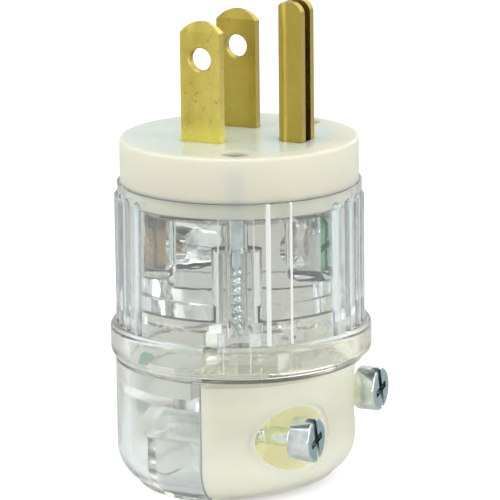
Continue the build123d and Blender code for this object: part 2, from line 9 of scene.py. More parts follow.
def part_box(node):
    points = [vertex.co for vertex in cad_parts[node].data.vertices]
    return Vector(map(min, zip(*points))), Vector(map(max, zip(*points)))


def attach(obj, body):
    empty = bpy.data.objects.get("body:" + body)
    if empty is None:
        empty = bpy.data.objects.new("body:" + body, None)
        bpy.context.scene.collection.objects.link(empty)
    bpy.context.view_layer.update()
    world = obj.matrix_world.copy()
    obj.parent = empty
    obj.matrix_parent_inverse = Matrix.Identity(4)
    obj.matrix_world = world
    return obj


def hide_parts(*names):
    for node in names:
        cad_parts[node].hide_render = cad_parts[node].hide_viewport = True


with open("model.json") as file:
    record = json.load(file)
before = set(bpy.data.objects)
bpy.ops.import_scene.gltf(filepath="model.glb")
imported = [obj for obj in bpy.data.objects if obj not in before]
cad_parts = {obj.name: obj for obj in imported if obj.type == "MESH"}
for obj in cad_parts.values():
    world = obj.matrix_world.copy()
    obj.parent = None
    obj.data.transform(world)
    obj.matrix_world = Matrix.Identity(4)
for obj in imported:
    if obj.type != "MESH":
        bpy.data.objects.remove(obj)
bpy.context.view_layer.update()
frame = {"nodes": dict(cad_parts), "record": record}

# A clear, three-pin, hospital grade plug. Lengths are in metres, in the frame of the packed
# solids: +Z up to the blades, +X to the ground pin and the loose jaw of the cord clamp.

MM = 0.001
WHITE = (1.0, 1.0, 1.0, 1.0)
CLAMP_SCREWS = ("front_clamp_screw", "rear_clamp_screw")
ASSEMBLY_SCREWS = ("front_assembly_screw", "rear_assembly_screw")

# The camera, as it stood for the photograph
CAMERA_AZIMUTH = radians(24.45)
CAMERA_ELEVATION = radians(13.32)
CAMERA_ROLL = radians(0.65)
CAMERA_DISTANCE = 0.500
CAMERA_ASIDE = 0.001645     # how far the view's middle lies right of the face's centre
CAMERA_BELOW = 0.017066     # and how far below it
CAMERA_LENS = 242.9
CAMERA_SENSOR = 36.0
FACE_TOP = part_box("face")[1].z

# The studio
ROOM_LIGHT = 0.56           # on matt surfaces
GLOSS_LIGHT = 0.74          # in reflections
BACK_LIGHT = 0.54           # seen through the clear parts, straight behind them
SIDE_LIGHT = 0.94           # and at their sides
FRONT_LIGHT = 0.55          # and towards the camera
BACK_TINT = (1.0, 0.98, 0.86, 1)
SIDE_TINT = (0.93, 1.0, 1.0, 1)
BACK_EDGES = (0.85, 0.45)   # cosine of the turn from straight behind, where grey goes to white
FRONT_EDGES = (-0.35, -0.80)
LIGHT_BOUNCES = 32          # enough for several clear walls in a row
FLOOR_RADIUS = 1.2
FLOOR_COLOUR = (0.80, 0.80, 0.80, 1)
FLOOR_GLOW = 0.50           # added for the camera alone
FLOOR_DROP = 0.02 * MM      # keeps the floor clear of the plug's flat bottom
LAMP_AIM = Vector((0, 0, 0.038))
LAMPS = (                   # name, place, width, height and power
    ("left_box", (-0.45, -0.30, 0.20), 0.30, 0.45, 1.00),
    ("right_box", (0.50, -0.12, 0.20), 0.16, 0.45, 0.88),
    ("top_box", (0.00, -0.10, 0.60), 0.50, 0.50, 0.85),
    ("back_box", (0.15, 0.55, 0.30), 0.60, 0.35, 0.60),
    ("low_box", (0.25, -0.60, 0.05), 0.60, 0.10, 0.30),
)

# Where the clear shell's finish, its painted shade and its painted highlights change
SHELL_RADIUS = 18.0 * MM
COLLAR_TOP = 24.6 * MM
COLLAR_SIDE_RADIUS = 18.8 * MM
COLLAR_LIP_TOP = 20.0 * MM
COLLAR_LIP_RADIUS = 17.0 * MM
COLLAR_BOTTOM = 18.9 * MM
JAW_SIDE_X = 2.2 * MM       # the jaw lies beyond this, under the collar
LIP_FRONT_Y = -6 * MM       # the lip's painted shade begins in front of this
FLAT_RIB_ANGLE = radians(47.3)
FLAT_RIB_HALF = 1.95 * MM
BOSS_RADIUS = 3.3 * MM
BOSS_FLANK = 1.6 * MM       # a boss's flanks begin this far to either side of its spoke
RIB_GROUPS = (0.0, radians(136), radians(-136))
RIB_GROUP_HALF = radians(21)
RIB_FOOT = 18.3 * MM        # the radius at which a rib leaves the shell

# The shell's plastic
PLASTIC_IOR = 1.56
CLEAR_ROUGHNESS = 0.03
CLAMP_ROUGHNESS = 0.05      # added below the collar
RIB_ROUGHNESS = (0.12, 0.20)
SHELL_TINT = (0.975, 0.985, 0.975, 1)
BLOCK_TINT = (0.965, 0.975, 0.965, 1)
RIB_TINT = (0.95, 1.0, 1.0, 1)
CREAM_TINT = (1.0, 0.96, 0.78, 1)
CREAM_SHARE = 0.8
CLAMP_TINT = (0.945, 0.96, 0.94, 1)
# painted shade: streaked near-black on the collar's lower lip over the jaw, where the gap below it lies
# in shade
LIP_PAINTED_SHADE_DARK = (0.03, 0.03, 0.027, 1)
LIP_PAINTED_SHADE_LIGHT = (0.12, 0.12, 0.11, 1)
BLOCK_HAZE = 0.01           # shares of light that a clear surface scatters
SHELL_HAZE = 0.03
RIB_HAZE = 0.10
# painted highlight: extra white scatter on the grip ribs' crests
CREST_PAINTED_HIGHLIGHT = 0.22
CLAMP_HAZE = 0.07
# painted highlights: white scatter on the flat ribs' edges
RIB_EDGE_PAINTED_HIGHLIGHT = 0.85
# painted highlights: white scatter on the bosses' flanks
BOSS_FLANK_PAINTED_HIGHLIGHT = 0.95
# colour of the scattered light, for plain scatter and painted highlights alike
HAZE_AND_HIGHLIGHT_COLOUR = (0.96, 0.96, 0.95, 1)
# colour of the scatter and painted highlight on the ribs' crests
CREST_SCATTER_AND_HIGHLIGHT_COLOUR = (0.88, 0.98, 0.99, 1)

NYLON_IOR = 1.53

# The face's nylon, thin in the middle and thick round the assembly screws
THIN_RADIUS = 16.2 * MM
THIN_CENTRE_X = -1.8 * MM
SCREW_PAD_RADIUS = 3.2 * MM
COLUMN_HALF = 2.3 * MM      # of the grey column on the face's side, in front of a buried screw
COLUMN_FROM = 14 * MM       # and how far out from the middle it begins
COLUMN_FULL = 17 * MM
FACE_SIDE = (0.79, 0.78, 0.64, 1)
FACE_FOOT = (0.74, 0.72, 0.58, 1)
FACE_RIM = (0.87, 0.86, 0.70, 1)
FACE_MIDDLE = (0.77, 0.87, 0.79, 1)
FACE_SHADE = (0.62, 0.64, 0.60, 1)
SHADE_SHARE = 0.6

# The jaw's nylon
BORE_RADIUS = 4.85 * MM
RING_RADIUS = 5.5 * MM      # of the shallow step round it
JAW_FOOT_TOP = 11 * MM      # painted light: the nylon is painted lighter below this
JAW_FOOT_FULL = 3 * MM
JAW_DARK = (0.71, 0.71, 0.57, 1)
JAW_LIGHT = (0.79, 0.79, 0.66, 1)
# painted light towards the jaw's foot
JAW_FOOT_PAINTED_LIGHT = (0.87, 0.87, 0.74, 1)
# painted light on the shallow step round each counterbore
RING_PAINTED_LIGHT = (0.88, 0.86, 0.80, 1)
RING_SHARE = 0.5
# the counterbores' yellow, painted lighter
BORE_PAINTED_LIGHT = (0.92, 0.90, 0.70, 1)
BORE_PAINTED_GLOW = 0.17            # painted glow, in place of light coming through the nylon into the counterbores
BORE_PAINTED_GLOW_COLOUR = (1.0, 0.96, 0.62, 1)

# Metals
REAR_BLADE_Y = 3 * MM       # the rear blade lies beyond this
PIN_X = 4 * MM              # and the ground pin beyond this
BRASS_DARK = (0.56, 0.45, 0.09, 1)
BRASS_LIGHT = (0.78, 0.66, 0.17, 1)
BRASS_SPOT = (0.36, 0.26, 0.06, 1)
SPOT_SHARE = 0.6
# painted shade on the rear blade and the pin
BRASS_REAR_PAINTED_SHADE = (0.42, 0.32, 0.06, 1)
REAR_SHADE_SHARE = 0.75
# painted light towards the front blade's foot
BRASS_FOOT_PAINTED_LIGHT = (0.97, 0.82, 0.17, 1)
FOOT_LIGHT_SHARE = 0.7
# brown of the brass inside the shell, with painted shade at the terminal head's rim
INSIDE_BRASS_BROWN = (0.60, 0.37, 0.09, 1)
INSIDE_BRASS_RIM_SHADE = (0.14, 0.08, 0.02, 1)
# painted shade at the brass terminal head's rim
HEAD_RIM_PAINTED_SHADE = (0.16, 0.09, 0.02, 1)
# painted dark teal reflection on the clamp screws' head ends
HEAD_END_PAINTED_REFLECTION = (0.32, 0.45, 0.47, 1)
# painted shade, mottled, on the sunk assembly screws' heads, and darker painted shade in their slots
SUNK_HEAD_SHADE_DARK = (0.34, 0.37, 0.36, 1)
SUNK_HEAD_SHADE_LIGHT = (0.72, 0.76, 0.75, 1)
SLOT_PAINTED_SHADE = (0.05, 0.055, 0.055, 1)
METAL_GRAIN = 400

# Screws
THREAD_DEPTH = 0.42 * MM
THREAD_SIDES = 40
THREAD_RINGS = 14           # in each pitch
TIP_LENGTH = 1.2            # of the shank's radius
TIP_WIDTH = 0.15            # of the shank's width, at the very end
SEAT_OVERLAP = 0.05 * MM    # how far the new shank stands in the head
SEAT_MARGIN = 0.02 * MM
ASSEMBLY_HEAD = 1.6 * MM
ASSEMBLY_HEAD_RADIUS = 1.85 * MM
ASSEMBLY_RADIUS = 1.4 * MM
ASSEMBLY_PITCH = 1.4 * MM
ASSEMBLY_STARTS = 2
ASSEMBLY_PLAIN = 14.0 * MM  # of the shank, under the head
CLAMP_HEAD = 3.55 * MM
CLAMP_HEAD_RADIUS = 3.3 * MM
CLAMP_RADIUS = 1.425 * MM
CLAMP_PITCH = 0.8 * MM
CLAMP_STARTS = 1
CLAMP_PLAIN = 4.0 * MM


def new_material(name):
    """An empty node material with its output, for the functions below to fill."""
    material = bpy.data.materials.new(name)
    material.use_nodes = True
    tree = material.node_tree
    tree.nodes.clear()
    output = tree.nodes.new("ShaderNodeOutputMaterial")
    return material, tree, output


def principled(tree, output, **values):
    """A Principled shader joined to the output, with its sockets set by name."""
    shader = tree.nodes.new("ShaderNodeBsdfPrincipled")
    for name, value in values.items():
        shader.inputs[name.replace("_", " ")].default_value = value
    tree.links.new(shader.outputs["BSDF"], output.inputs["Surface"])
    return shader


def put(tree, socket, value):
    """Link a socket, or set it where the value is plain."""
    if isinstance(value, bpy.types.NodeSocket):
        tree.links.new(value, socket)
    else:
        socket.default_value = value


def noise(tree, scale, detail=3.0, roughness=0.5, stretch=(1, 1, 1)):
    """Noise over the piece's own metres, stretched along its axes."""
    place = tree.nodes.new("ShaderNodeTexCoord")
    mapping = tree.nodes.new("ShaderNodeMapping")
    mapping.inputs["Scale"].default_value = stretch
    texture = tree.nodes.new("ShaderNodeTexNoise")
    texture.inputs["Scale"].default_value = scale
    texture.inputs["Detail"].default_value = detail
    texture.inputs["Roughness"].default_value = roughness
    tree.links.new(place.outputs["Object"], mapping.inputs["Vector"])
    tree.links.new(mapping.outputs["Vector"], texture.inputs["Vector"])
    return texture.outputs["Fac"]


def mottled(tree, factor, dark, light, low=0.35, high=0.65):
    """Colour that goes from dark to light as a noise goes from low to high."""
    node = tree.nodes.new("ShaderNodeValToRGB")
    stops = zip(node.color_ramp.elements, (low, high), (dark, light))
    for element, position, colour in stops:
        element.position = position
        element.color = colour
    tree.links.new(factor, node.inputs["Fac"])
    return node.outputs["Color"]


def calc(tree, operation, first, second=0.0, third=0.0):
    """Math node on sockets or plain numbers."""
    node = tree.nodes.new("ShaderNodeMath")
    node.operation = operation
    for socket, value in zip(node.inputs, (first, second, third)):
        put(tree, socket, value)
    return node.outputs["Value"]


def product(tree, first, *others):
    """Product of sockets or plain numbers."""
    for value in others:
        first = calc(tree, "MULTIPLY", first, value)
    return first


def point(tree):
    """X, Y and Z of the shaded point, in the piece's own metres."""
    place = tree.nodes.new("ShaderNodeTexCoord")
    parts = tree.nodes.new("ShaderNodeSeparateXYZ")
    tree.links.new(place.outputs["Object"], parts.inputs["Vector"])
    return parts.outputs["X"], parts.outputs["Y"], parts.outputs["Z"]


def distance(tree, first, second):
    """How far away two offsets at right angles lead."""
    square = calc(tree, "MULTIPLY", first, first)
    return calc(tree, "SQRT", calc(tree, "MULTIPLY_ADD", second, second, square))


def along_spoke(tree, x, y, angle):
    """How far a point lies out along a spoke, and how far to either side of it."""
    out = calc(tree, "MULTIPLY", x, cos(angle))
    out = calc(tree, "MULTIPLY_ADD", y, sin(angle), out)
    aside = calc(tree, "MULTIPLY", x, -sin(angle))
    aside = calc(tree, "MULTIPLY_ADD", y, cos(angle), aside)
    return out, calc(tree, "ABSOLUTE", aside)


def rise(tree, value, low, high):
    """0 at low, 1 at high and smooth between them."""
    node = tree.nodes.new("ShaderNodeMapRange")
    node.interpolation_type = "SMOOTHSTEP"
    node.inputs["From Min"].default_value = low
    node.inputs["From Max"].default_value = high
    tree.links.new(value, node.inputs["Value"])
    return node.outputs["Result"]


def blend(tree, share, first, second):
    """One colour going over to another."""
    node = tree.nodes.new("ShaderNodeMixRGB")
    put(tree, node.inputs["Fac"], share)
    put(tree, node.inputs["Color1"], first)
    put(tree, node.inputs["Color2"], second)
    return node.outputs["Color"]


def spread(tree, factor, low, high):
    """A value that runs between two numbers as a noise does."""
    node = tree.nodes.new("ShaderNodeMapRange")
    node.inputs["From Min"].default_value = 0.3
    node.inputs["From Max"].default_value = 0.7
    node.inputs["To Min"].default_value = low
    node.inputs["To Max"].default_value = high
    tree.links.new(factor, node.inputs["Value"])
    return node.outputs["Result"]


def mix_shaders(tree, share, first, second):
    """One shader going over to another."""
    node = tree.nodes.new("ShaderNodeMixShader")
    put(tree, node.inputs["Fac"], share)
    tree.links.new(first, node.inputs[1])
    tree.links.new(second, node.inputs[2])
    return node.outputs["Shader"]


def bump(tree, shader, height, strength, depth):
    """Surface relief from a height."""
    node = tree.nodes.new("ShaderNodeBump")
    node.inputs["Strength"].default_value = strength
    node.inputs["Distance"].default_value = depth
    tree.links.new(height, node.inputs["Height"])
    tree.links.new(node.outputs["Normal"], shader.inputs["Normal"])


def screw_axis(node):
    """Middle of a screw's box."""
    low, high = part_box(node)
    return (low + high) / 2


def from_screw(tree, node, along):
    """Distance from a screw's axis, which runs along X where along is 0 and Z where it is 2."""
    middle = screw_axis(node)
    offsets = []
    for index, value in enumerate(point(tree)):
        if index != along:
            offsets.append(calc(tree, "SUBTRACT", value, middle[index]))
    return distance(tree, *offsets)


def on_ribs(tree):
    """1 on the three groups of grip ribs, 0 elsewhere, and the same for their crests alone."""
    x, y, z = point(tree)
    turn = calc(tree, "ARCTAN2", y, x)
    groups = 0.0
    for middle in RIB_GROUPS:
        near = calc(tree, "COSINE", calc(tree, "SUBTRACT", turn, middle))
        near = rise(tree, near, cos(RIB_GROUP_HALF), cos(RIB_GROUP_HALF * 0.93))
        groups = calc(tree, "ADD", near, groups)
    reach = distance(tree, x, y)
    outside = rise(tree, reach, SHELL_RADIUS, SHELL_RADIUS + 0.1 * MM)
    above_collar = rise(tree, z, COLLAR_TOP, COLLAR_TOP + 0.4 * MM)
    ribs = product(tree, groups, outside, above_collar)
    crest = rise(tree, reach, RIB_FOOT, RIB_FOOT + 0.2 * MM)
    return ribs, product(tree, ribs, crest)


def on_painted_lip_shade(tree):
    """1 on the collar's rounded lower lip over the jaw's front, where painted shade stands in for the
    dark gap below it.
    """
    x, y, z = point(tree)
    outside = rise(tree, distance(tree, x, y), COLLAR_LIP_RADIUS, COLLAR_LIP_RADIUS + 0.2 * MM)
    low = rise(tree, z, COLLAR_LIP_TOP, COLLAR_LIP_TOP - 0.1 * MM)
    jaw_side = rise(tree, x, JAW_SIDE_X, JAW_SIDE_X + 0.2 * MM)
    front = rise(tree, y, LIP_FRONT_Y, LIP_FRONT_Y * 2)
    return product(tree, outside, low, jaw_side, front)


def over_jaw(tree):
    """1 on the collar's band over the jaw, which takes up the nylon's cream colour."""
    x, y, z = point(tree)
    outside = rise(tree, distance(tree, x, y), COLLAR_SIDE_RADIUS, COLLAR_SIDE_RADIUS + 0.4 * MM)
    below_top = rise(tree, z, COLLAR_TOP, COLLAR_TOP - 1.0 * MM)
    above_lip = rise(tree, z, COLLAR_LIP_TOP - 0.2 * MM, COLLAR_LIP_TOP)
    jaw_side = rise(tree, x, JAW_SIDE_X, JAW_SIDE_X + 0.4 * MM)
    return product(tree, outside, below_top, above_lip, jaw_side)


def on_rib_edges(tree):
    """1 on the edges of the two flat ribs, which carry a painted highlight."""
    x, y, z = point(tree)
    out, aside = along_spoke(tree, x, calc(tree, "ABSOLUTE", y), FLAT_RIB_ANGLE)
    beyond = rise(tree, aside, FLAT_RIB_HALF - 0.50 * MM, FLAT_RIB_HALF - 0.44 * MM)
    within = rise(tree, aside, FLAT_RIB_HALF + 0.10 * MM, FLAT_RIB_HALF + 0.05 * MM)
    outside = rise(tree, out, SHELL_RADIUS, SHELL_RADIUS + 0.1 * MM)
    above_collar = rise(tree, z, COLLAR_TOP, COLLAR_TOP + 0.2 * MM)
    return product(tree, beyond, within, outside, above_collar)


def on_boss_flanks(tree):
    """1 on the flanks of the two bosses that the assembly screws enter, which carry a painted highlight.
    """
    x, y = point(tree)[:2]
    axis = screw_axis("rear_assembly_screw")
    right = calc(tree, "SUBTRACT", x, axis.x)
    forward = calc(tree, "SUBTRACT", calc(tree, "ABSOLUTE", y), axis.y)
    reach = distance(tree, right, forward)
    beyond = rise(tree, reach, BOSS_RADIUS - 0.1 * MM, BOSS_RADIUS)
    within = rise(tree, reach, BOSS_RADIUS + 0.15 * MM, BOSS_RADIUS + 0.05 * MM)
    aside = along_spoke(tree, right, forward, atan2(axis.y, axis.x))[1]
    return product(tree, beyond, within, rise(tree, aside, BOSS_FLANK, BOSS_FLANK + 0.4 * MM))


def shell_zones(tree, rough):
    """The shell's colour, roughness, and the share and colour of its scattered light, which change from
    place to place; these carry painted shade on the collar's lip and painted highlights on the ribs'
    crests, the flat ribs' edges and the bosses' flanks.
    """
    ribs, crests = on_ribs(tree)
    clamp = rise(tree, point(tree)[2], COLLAR_BOTTOM + 0.2 * MM, COLLAR_BOTTOM)
    frost = spread(tree, noise(tree, 3000, 2.0), *RIB_ROUGHNESS)
    rough = calc(tree, "MULTIPLY_ADD", ribs, frost, rough)
    rough = calc(tree, "MULTIPLY_ADD", clamp, CLAMP_ROUGHNESS, rough)
    colour = blend(tree, ribs, SHELL_TINT, RIB_TINT)
    colour = blend(tree, product(tree, over_jaw(tree), CREAM_SHARE), colour, CREAM_TINT)
    colour = blend(tree, clamp, colour, CLAMP_TINT)
    # painted shade on the collar's lower lip
    lip_shade = mottled(tree, noise(tree, 160, 3.0, 0.6, (1, 1, 3)), LIP_PAINTED_SHADE_DARK, LIP_PAINTED_SHADE_LIGHT)
    colour = blend(tree, on_painted_lip_shade(tree), colour, lip_shade)
    haze_and_highlight = calc(tree, "MULTIPLY_ADD", ribs, RIB_HAZE, SHELL_HAZE)
    # painted highlight on the ribs' crests
    haze_and_highlight = calc(tree, "MULTIPLY_ADD", crests, CREST_PAINTED_HIGHLIGHT, haze_and_highlight)
    haze_and_highlight = calc(tree, "MULTIPLY_ADD", clamp, CLAMP_HAZE, haze_and_highlight)
    # painted highlight on the flat ribs' edges
    edges = product(tree, on_rib_edges(tree), RIB_EDGE_PAINTED_HIGHLIGHT)
    # painted highlight on the bosses' flanks
    flanks = product(tree, on_boss_flanks(tree), BOSS_FLANK_PAINTED_HIGHLIGHT)
    haze_and_highlight = calc(tree, "ADD", haze_and_highlight, calc(tree, "MAXIMUM", edges, flanks))
    return colour, rough, haze_and_highlight, blend(tree, crests, HAZE_AND_HIGHLIGHT_COLOUR, CREST_SCATTER_AND_HIGHLIGHT_COLOUR)


def clear_plastic(name, tint, ripple, shell=False):
    """Clear polycarbonate that scatters a little light and lets lamp light through to what it holds; the
    shell's also carries painted shade and painted highlights.
    """
    material, tree, output = new_material(name)
    shader = principled(tree, output, IOR=PLASTIC_IOR, Transmission_Weight=1.0)
    bump(tree, shader, noise(tree, 260, 2.0), ripple, 0.0004)
    colour, haze_and_highlight, haze_and_highlight_colour = tint, BLOCK_HAZE, HAZE_AND_HIGHLIGHT_COLOUR
    rough = spread(tree, noise(tree, 500, 3.0), CLEAR_ROUGHNESS * 0.6, CLEAR_ROUGHNESS * 1.6)
    if shell:
        colour, rough, haze_and_highlight, haze_and_highlight_colour = shell_zones(tree, rough)
    put(tree, shader.inputs["Base Color"], colour)
    put(tree, shader.inputs["Roughness"], rough)
    scatter = tree.nodes.new("ShaderNodeBsdfDiffuse")
    put(tree, scatter.inputs["Color"], haze_and_highlight_colour)
    hazy_and_highlit = mix_shaders(tree, haze_and_highlight, shader.outputs["BSDF"], scatter.outputs["BSDF"])
    open_way = tree.nodes.new("ShaderNodeBsdfTransparent")
    open_way.inputs["Color"].default_value = tint
    path = tree.nodes.new("ShaderNodeLightPath")
    surface = mix_shaders(tree, path.outputs["Is Shadow Ray"], hazy_and_highlit, open_way.outputs["BSDF"])
    tree.links.new(surface, output.inputs["Surface"])
    return material


def nylon(name):
    """Natural translucent nylon, satin, a little cloudy: its colour and polish are set later."""
    material, tree, output = new_material(name)
    shader = principled(tree, output, IOR=NYLON_IOR, Subsurface_Weight=0.85,
                        Subsurface_Scale=0.0025, Subsurface_Radius=(1.0, 1.0, 0.75))
    bump(tree, shader, noise(tree, 2600, 4.0), 0.05, 0.0002)
    return material, tree, shader


def cloudy(tree, colour, share=0.97):
    """A colour that drifts a little lighter and darker."""
    darker = tuple(channel * share for channel in colour[:3]) + (1,)
    return mottled(tree, noise(tree, 90, 3.0), darker, colour, 0.3, 0.7)


def face_nylon():
    """The face: thinner and greener in the middle, grey in front of a buried screw."""
    material, tree, shader = nylon("face_nylon_look")
    x, y, z = point(tree)
    top = rise(tree, z, FACE_TOP - 0.4 * MM, FACE_TOP - 0.1 * MM)
    reach = distance(tree, calc(tree, "SUBTRACT", x, THIN_CENTRE_X), y)
    thin = product(tree, rise(tree, reach, THIN_RADIUS, THIN_RADIUS - 0.5 * MM), top)
    shade = 0.0
    for node in ASSEMBLY_SCREWS:
        past_pad = rise(tree, from_screw(tree, node, 2), SCREW_PAD_RADIUS - 0.2 * MM,
                        SCREW_PAD_RADIUS + 0.2 * MM)
        thin = product(tree, thin, past_pad)
        axis = screw_axis(node)
        out, aside = along_spoke(tree, x, y, atan2(axis.y, axis.x))
        column = product(tree, rise(tree, aside, COLUMN_HALF, COLUMN_HALF - 2.0 * MM),
                         rise(tree, out, COLUMN_FROM, COLUMN_FULL))
        shade = calc(tree, "ADD", column, shade)
    below_rim = rise(tree, z, FACE_TOP - 0.6 * MM, FACE_TOP - 3.4 * MM)
    shade = product(tree, shade, below_rim, SHADE_SHARE)
    foot = rise(tree, z, FACE_TOP - 1.5 * MM, FACE_TOP - 6.5 * MM)
    colour = blend(tree, foot, cloudy(tree, FACE_SIDE), FACE_FOOT)
    colour = blend(tree, top, colour, cloudy(tree, FACE_RIM))
    colour = blend(tree, thin, colour, cloudy(tree, FACE_MIDDLE))
    colour = blend(tree, shade, colour, FACE_SHADE)
    tree.links.new(colour, shader.inputs["Base Color"])
    rough = spread(tree, noise(tree, 300, 3.0), 0.32, 0.42)
    rough = calc(tree, "MULTIPLY_ADD", thin, -0.20, rough)
    tree.links.new(rough, shader.inputs["Roughness"])
    return material


def jaw_nylon():
    """The jaw: creamier than the face, with lighter patches, painted light towards its foot, and yellow
    counterbores painted lighter, with a painted light ring and a painted glow.
    """
    material, tree, shader = nylon("jaw_nylon_look")
    colour = mottled(tree, noise(tree, 70, 2.0, 0.5, (1, 1, 2)), JAW_DARK, JAW_LIGHT)
    # painted light, lighter towards the jaw's foot
    colour = blend(tree, rise(tree, point(tree)[2], JAW_FOOT_TOP, JAW_FOOT_FULL), colour, JAW_FOOT_PAINTED_LIGHT)
    glow = 0.0
    for node in CLAMP_SCREWS:
        reach = from_screw(tree, node, 0)
        ring = rise(tree, reach, RING_RADIUS + 0.1 * MM, RING_RADIUS - 0.1 * MM)
        bore = rise(tree, reach, BORE_RADIUS + 0.15 * MM, BORE_RADIUS - 0.05 * MM)
        # painted light on the step
        colour = blend(tree, product(tree, ring, RING_SHARE), colour, RING_PAINTED_LIGHT)
        # the counterbore's yellow, painted lighter, with a painted glow
        colour = blend(tree, bore, colour, BORE_PAINTED_LIGHT)
        glow = calc(tree, "MULTIPLY_ADD", bore, BORE_PAINTED_GLOW, glow)
    tree.links.new(glow, shader.inputs["Emission Strength"])
    shader.inputs["Emission Color"].default_value = BORE_PAINTED_GLOW_COLOUR
    tree.links.new(colour, shader.inputs["Base Color"])
    rough = spread(tree, noise(tree, 300, 3.0), 0.36, 0.46)
    tree.links.new(rough, shader.inputs["Roughness"])
    return material


def to_rim(tree):
    """0 at the middle height of the line terminal screw's head, 1 at its upper and lower rim."""
    low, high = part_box("line_terminal_screw")
    middle = (low.z + high.z) / 2
    radius = (high.z - low.z) / 2
    away = calc(tree, "ABSOLUTE", calc(tree, "SUBTRACT", point(tree)[2], middle))
    return rise(tree, away, radius * 0.35, radius * 0.95)


def painted_rim_shade(tree, colour):
    """A brass head's colour with painted shade at its rim, so that the head looks crowned."""
    return blend(tree, to_rim(tree), colour, HEAD_RIM_PAINTED_SHADE)


def painted_head_shading(tree, colour):
    """Painted dark teal reflections on the clamp screws' head ends, and painted shade, mottled, on the
    sunk heads' tops, darkest in their slots.
    """
    x, _, z = point(tree)
    ends = 0.0
    for node in CLAMP_SCREWS:
        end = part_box(node)[1].x
        on_axis = rise(tree, from_screw(tree, node, 0), CLAMP_HEAD_RADIUS + 0.1 * MM,
                       CLAMP_HEAD_RADIUS - 0.6 * MM)
        outer = rise(tree, x, end - 0.4 * MM, end - 0.2 * MM)
        ends = calc(tree, "ADD", product(tree, outer, on_axis), ends)
    heads = 0.0
    slots = 0.0
    for node in ASSEMBLY_SCREWS:
        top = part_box(node)[1].z
        on_axis = rise(tree, from_screw(tree, node, 2), ASSEMBLY_HEAD_RADIUS + 0.25 * MM,
                       ASSEMBLY_HEAD_RADIUS + 0.10 * MM)
        above_seat = rise(tree, z, top - ASSEMBLY_HEAD - 0.2 * MM, top - ASSEMBLY_HEAD)
        head = product(tree, on_axis, above_seat)
        heads = calc(tree, "ADD", head, heads)
        slot = product(tree, head, rise(tree, z, top - 0.1 * MM, top - 0.25 * MM))
        slots = calc(tree, "ADD", slot, slots)
    # painted shade, mottled, on the sunk heads
    head_shade = mottled(tree, noise(tree, 1500, 4.0), SUNK_HEAD_SHADE_DARK, SUNK_HEAD_SHADE_LIGHT)
    # painted reflection on the clamp screws' head ends
    colour = blend(tree, ends, colour, HEAD_END_PAINTED_REFLECTION)
    colour = blend(tree, heads, colour, head_shade)
    # painted shade in the slots
    return blend(tree, slots, colour, SLOT_PAINTED_SHADE)


def metal(name, rear_shade, bright, rough_low, rough_high, wear=None):
    """Metal whose colour and polish drift between two states, with its own wear on top."""
    material, tree, output = new_material(name)
    shader = principled(tree, output, Metallic=1.0)
    colour = mottled(tree, noise(tree, METAL_GRAIN, 5.0, 0.6), rear_shade, bright)
    if wear:
        colour = wear(tree, colour)
    tree.links.new(colour, shader.inputs["Base Color"])
    rough = spread(tree, noise(tree, METAL_GRAIN * 2.3, 4.0, 0.6), rough_low, rough_high)
    tree.links.new(rough, shader.inputs["Roughness"])
    bump(tree, shader, noise(tree, METAL_GRAIN * 6, 3.0, 0.6), 0.05, 0.0001)
    return material


def blade_brass():
    """Brushed, mottled brass, with painted shade on the rear blade and the pin, painted light towards
    the front blade's foot, and brown inside the shell with painted shade at the terminal head's rim.
    """
    material, tree, output = new_material("blade_brass_look")
    shader = principled(tree, output, Metallic=1.0)
    x, y, z = point(tree)
    colour = mottled(tree, noise(tree, 170, 5.0, 0.6, (1, 1, 0.35)), BRASS_DARK, BRASS_LIGHT)
    spots = rise(tree, noise(tree, 900, 4.0, 0.7), 0.56, 0.70)
    colour = blend(tree, product(tree, spots, SPOT_SHARE), colour, BRASS_SPOT)
    # painted shade on the rear blade and the pin
    rear = rise(tree, y, REAR_BLADE_Y, REAR_BLADE_Y + 2 * MM)
    pin = rise(tree, x, PIN_X, PIN_X + 2 * MM)
    rear_shade = calc(tree, "MAXIMUM", rear, pin)
    colour = blend(tree, product(tree, rear_shade, REAR_SHADE_SHARE), colour, BRASS_REAR_PAINTED_SHADE)
    # painted light towards the front blade's foot
    foot = rise(tree, z, FACE_TOP + 3.5 * MM, FACE_TOP + 0.5 * MM)
    foot = product(tree, foot, calc(tree, "SUBTRACT", 1.0, rear_shade), FOOT_LIGHT_SHARE)
    colour = blend(tree, foot, colour, BRASS_FOOT_PAINTED_LIGHT)
    inside = rise(tree, z, FACE_TOP - 1.0 * MM, FACE_TOP - 2.0 * MM)
    # brown inside the shell, with painted shade towards the terminal head's rim
    inside_brown = blend(tree, to_rim(tree), INSIDE_BRASS_BROWN, INSIDE_BRASS_RIM_SHADE)
    colour = blend(tree, inside, colour, inside_brown)
    tree.links.new(colour, shader.inputs["Base Color"])
    rough = spread(tree, noise(tree, 400, 4.0, 0.6, (1, 1, 0.3)), 0.22, 0.42)
    tree.links.new(rough, shader.inputs["Roughness"])
    bump(tree, shader, noise(tree, 1000, 3.0, 0.6, (1, 1, 0.35)), 0.07, 0.0001)
    return material


def lacquer(name, deep, colour, metallic):
    """Coloured lacquer with a slight unevenness."""
    material, tree, output = new_material(name)
    shader = principled(tree, output, Metallic=metallic, Coat_Weight=0.6, Coat_Roughness=0.08)
    uneven = mottled(tree, noise(tree, 700, 4.0), deep, colour)
    tree.links.new(uneven, shader.inputs["Base Color"])
    rough = spread(tree, noise(tree, 900, 3.0), 0.22, 0.40)
    tree.links.new(rough, shader.inputs["Roughness"])
    return material


